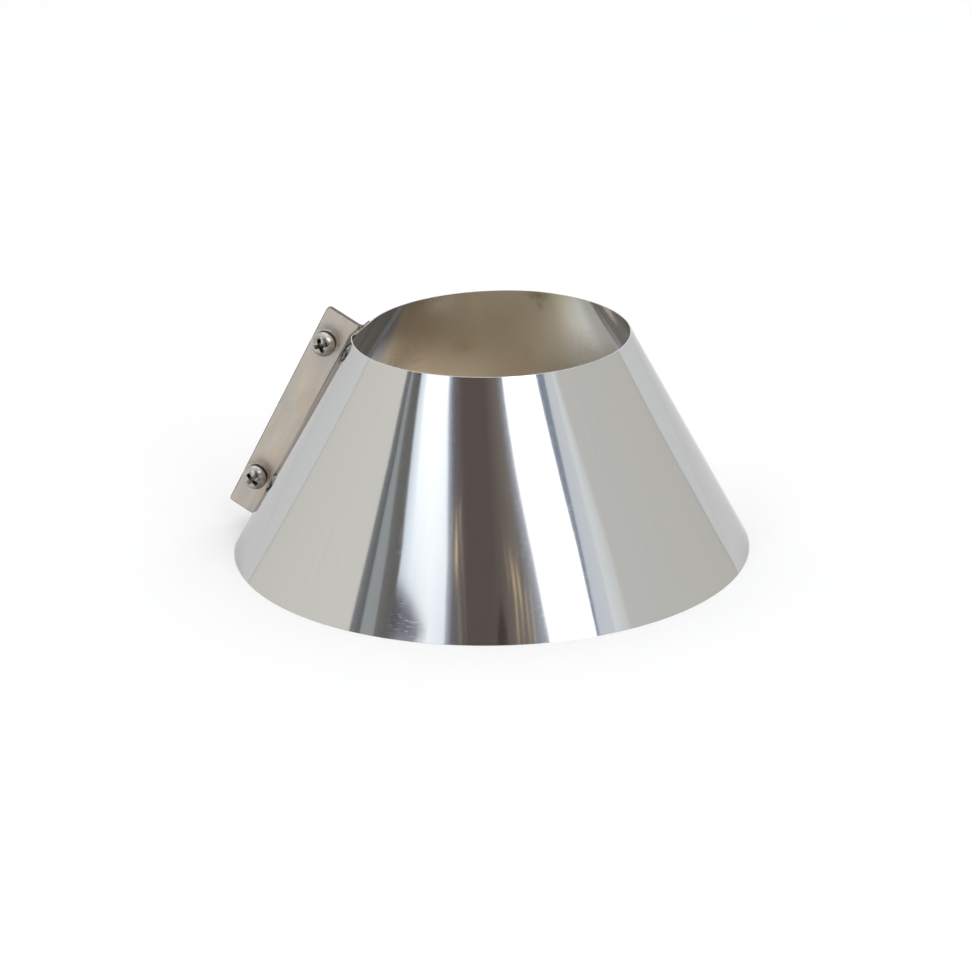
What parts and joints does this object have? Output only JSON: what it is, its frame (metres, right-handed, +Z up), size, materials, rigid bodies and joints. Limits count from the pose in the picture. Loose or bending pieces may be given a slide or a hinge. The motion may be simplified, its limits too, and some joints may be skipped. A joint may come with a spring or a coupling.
{
  "type": "conical pipe flashing collar",
  "caption": "Conical stainless sheet collar with lapped ends and screwed clamp lugs, which grips a round pipe above the roof and sheds rain over the flashing below.",
  "frame": {"origin": "on the pipe's axis, in the plane of the lower rim", "axes": "+Z up along the pipe, from the wide rim to the narrow one; the slit and the clamp lugs face -X, and the screw heads face -Y"},
  "size_m": [0.2485, 0.2425, 0.1129],
  "materials": {
    "mirror_sheet": "mirror polished stainless outside, duller inside",
    "satin_lug": "satin stainless, brushed along its length",
    "fastener": "bright stainless"
  },
  "bodies": {
    "root": {"collar": "mirror_sheet", "front_lug": "satin_lug", "rear_lug": "satin_lug", "upper_screw": "fastener", "lower_screw": "fastener", "upper_washer": "fastener", "lower_washer": "fastener", "upper_spring_washer": "fastener", "lower_spring_washer": "fastener", "upper_nut": "fastener", "lower_nut": "fastener"}
  },
  "joints": []
}
